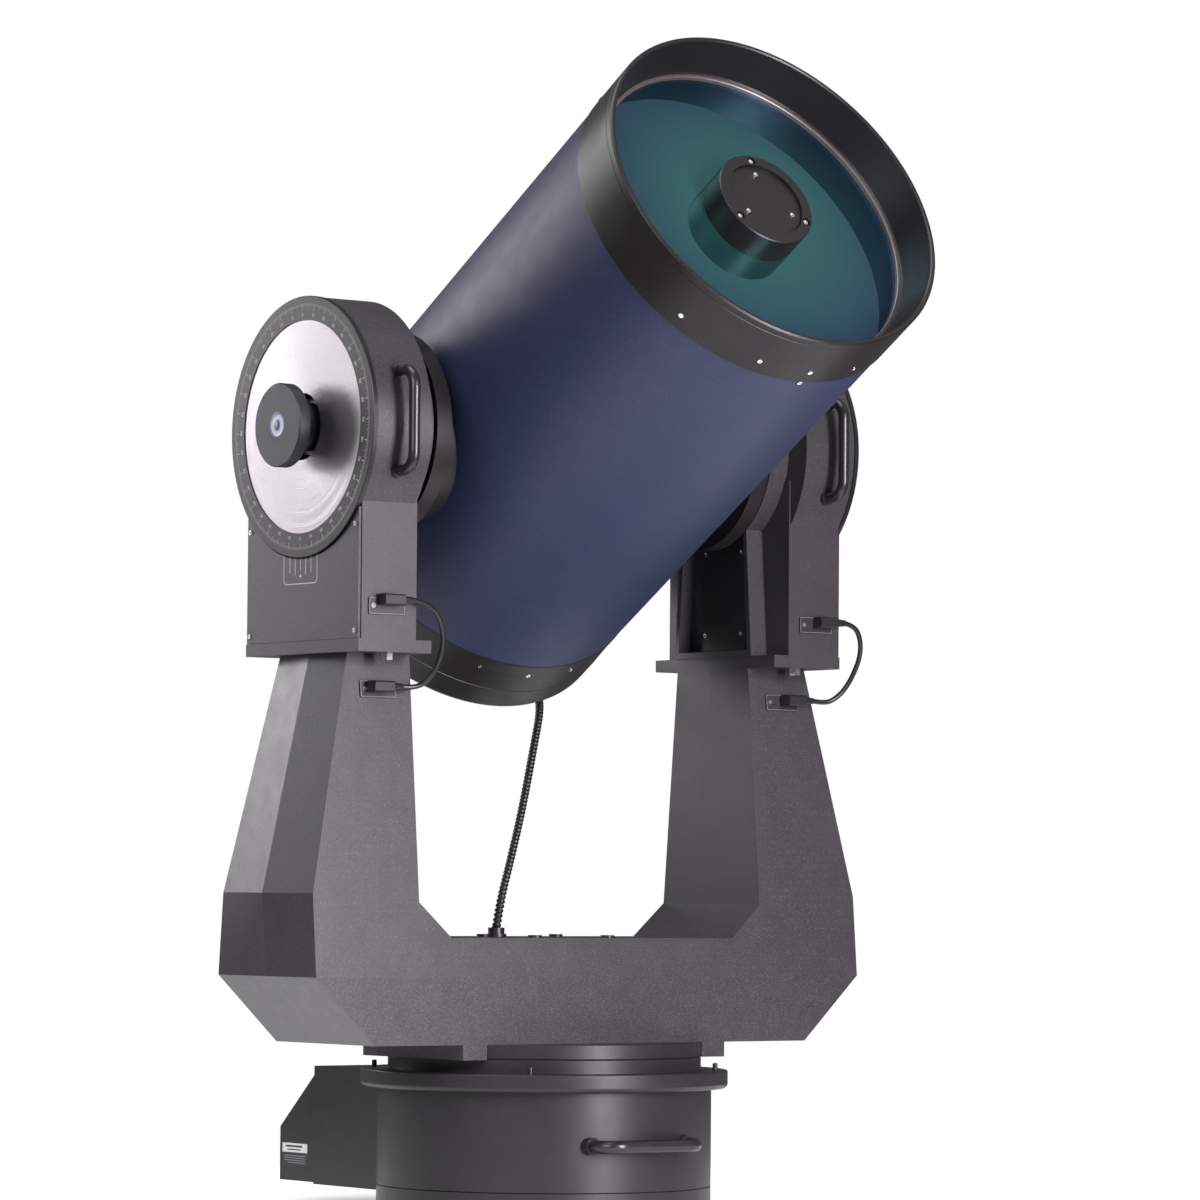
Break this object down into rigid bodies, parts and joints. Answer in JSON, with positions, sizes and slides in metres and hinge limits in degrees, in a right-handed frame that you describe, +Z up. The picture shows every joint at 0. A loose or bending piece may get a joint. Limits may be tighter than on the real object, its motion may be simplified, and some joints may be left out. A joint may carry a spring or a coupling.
{
  "type": "fork-mounted schmidt-cassegrain telescope",
  "caption": "Large catadioptric telescope tube in a two-arm fork on a round motorised drive base, with setting circles and a control box.",
  "frame": {"origin": "centre of the drive base's underside, on the polar axis, at the centre of the pier bolt circle", "axes": "+Z up along the polar axis, +X to the right across the fork, the open end of the tube towards -Y"},
  "size_m": [0.8608, 0.9857, 1.4681],
  "materials": {
    "base_black": "fine satin powder coat",
    "fork_grey": "dark grey speckled powder coat",
    "cell_black": "satin black anodised metal",
    "tube_blue": "deep blue fine-sparkle powder coat",
    "handle_black": "satin black enamel",
    "knob_black": "satin black moulding",
    "panel_black": "matt black plate",
    "pin_black": "black oxide steel",
    "plastic_black": "matt moulded plastic",
    "cable_black": "smooth cable sheath",
    "conduit_black": "corrugated conduit",
    "bearing_steel": "ground steel",
    "worm_steel": "turned steel",
    "worm_wheel": "turned bronze",
    "machined_aluminium": "machined",
    "spun_aluminium": "spun radial finish",
    "dial_black": "black anodised with engraved divisions",
    "screw_steel": "stainless steel",
    "retainer_bronze": "brown-grey satin ring",
    "coated_glass": "coated corrector glass",
    "mirror_glass": "aluminised glass",
    "baffle_black": "matt black baffle"
  },
  "bodies": {
    "drive_base": {"base_bottom_plate": "base_black", "base_drum": "base_black", "flange_pins": "pin_black", "base_top_flange": "base_black", "base_neck_ring": "base_black", "ra_bearings": "bearing_steel", "base_handle": "handle_black", "control_box": "base_black", "control_console": "base_black", "control_panel": "panel_black", "panel_sockets": "plastic_black", "ra_motor_gearbox": "machined_aluminium"},
    "power_rocker": {"power_switch": "plastic_black"},
    "ra_clamp": {"ra_clamp_lever": "handle_black"},
    "ra_worm_shaft": {"ra_worm": "worm_steel"},
    "fork": {"fork_base_bolts": "pin_black", "fork_casting": "fork_grey", "ra_turntable": "base_black", "ra_spindle": "worm_steel", "ra_worm_wheel": "worm_wheel", "housing_screws": "screw_steel", "housing_bolts": "screw_steel", "connector_plates": "panel_black", "dec_housing_left": "fork_grey", "dec_housing_right": "fork_grey", "side_covers": "fork_grey", "inner_panels": "panel_black", "dec_bearings": "bearing_steel", "dec_motor_gearbox": "machined_aluminium", "fork_handles": "handle_black", "jumper_cable_left": "cable_black", "jumper_cable_right": "cable_black", "cable_plugs_left": "plastic_black", "cable_plugs_right": "plastic_black", "conduit": "conduit_black", "conduit_gland_fork": "plastic_black"},
    "dec_worm_shaft": {"dec_worm": "worm_steel"},
    "optical_tube_assembly": {"conduit_gland_rear": "plastic_black", "ota_screws": "screw_steel", "optical_tube": "tube_blue", "front_cell": "cell_black", "corrector_retainer": "retainer_bronze", "corrector_plate": "coated_glass", "secondary_housing": "cell_black", "secondary_cover": "cell_black", "secondary_mirror": "mirror_glass", "rear_cell": "cell_black", "visual_back": "cell_black", "baffle_tube": "baffle_black", "trunnion_left": "cell_black", "trunnion_right": "cell_black", "setting_circles": "dial_black", "dec_discs": "spun_aluminium", "dec_worm_wheel": "worm_wheel"},
    "mirror_slide": {"mirror_carrier": "machined_aluminium", "primary_mirror": "mirror_glass"},
    "focus": {"focus_knob": "handle_black"},
    "mirror_lock": {"mirror_lock_knob": "handle_black"},
    "dec_clamp": {"dec_clamp_knob": "knob_black"},
    "dec_slow_motion": {"dec_slow_motion_knob": "knob_black"}
  },
  "joints": [
    {"name": "ra_turn", "type": "hinge", "parent": "drive_base", "child": "fork", "pos_m": [0, 0, 0.1], "axis": [0, 0, 1], "range_deg": [-180, 180]},
    {"name": "dec_turn", "type": "hinge", "parent": "fork", "child": "optical_tube_assembly", "pos_m": [0, 0, 0.9858], "axis": [-1, 0, 0], "range_deg": [-31, 59], "deforming": ["conduit"]},
    {"name": "ra_worm_turn", "type": "hinge", "parent": "drive_base", "child": "ra_worm_shaft", "pos_m": [0, 0.1486, 0.101], "axis": [1, 0, 0], "continuous": true},
    {"name": "dec_worm_turn", "type": "hinge", "parent": "fork", "child": "dec_worm_shaft", "pos_m": [-0.318, 0, 0.8372], "axis": [0, 1, 0], "continuous": true},
    {"name": "ra_clamp_turn", "type": "hinge", "parent": "drive_base", "child": "ra_clamp", "pos_m": [0.20673, 0.07524, 0.1], "axis": [0.9397, 0.342, 0], "range_deg": [-35, 35]},
    {"name": "power_switch_rock", "type": "hinge", "parent": "drive_base", "child": "power_rocker", "pos_m": [0.085, 0.35285, 0.13024], "axis": [1, 0, 0], "range_deg": [-6, 6]},
    {"name": "focus_turn", "type": "hinge", "parent": "optical_tube_assembly", "child": "focus", "pos_m": [-0.12, 0.20653, 0.7917], "axis": [0, 0.8572, -0.515], "range_deg": [-2880, 2880]},
    {"name": "primary_mirror_slide", "type": "slide", "parent": "optical_tube_assembly", "child": "mirror_slide", "axis": [0, -0.8572, 0.515], "range_m": [-0.008, 0.008]},
    {"name": "mirror_lock_turn", "type": "hinge", "parent": "optical_tube_assembly", "child": "mirror_lock", "pos_m": [-0.06, 0.15846, 0.71559], "axis": [0, 0.8572, -0.515], "range_deg": [-90, 270]},
    {"name": "dec_clamp_turn", "type": "hinge", "parent": "optical_tube_assembly", "child": "dec_clamp", "pos_m": [-0.4, 0, 0.9858], "axis": [-1, 0, 0], "range_deg": [-60, 60]},
    {"name": "dec_slow_motion_turn", "type": "hinge", "parent": "optical_tube_assembly", "child": "dec_slow_motion", "pos_m": [0.4, 0, 0.9858], "axis": [1, 0, 0], "range_deg": [-60, 60]}
  ],
  "couplings": [
    {"joint": "ra_worm_turn", "follows": "ra_turn", "ratio": 180},
    {"joint": "dec_worm_turn", "follows": "dec_turn", "ratio": 180},
    {"joint": "focus_turn", "follows": "primary_mirror_slide", "rad_per_m": 6283.2}
  ]
}
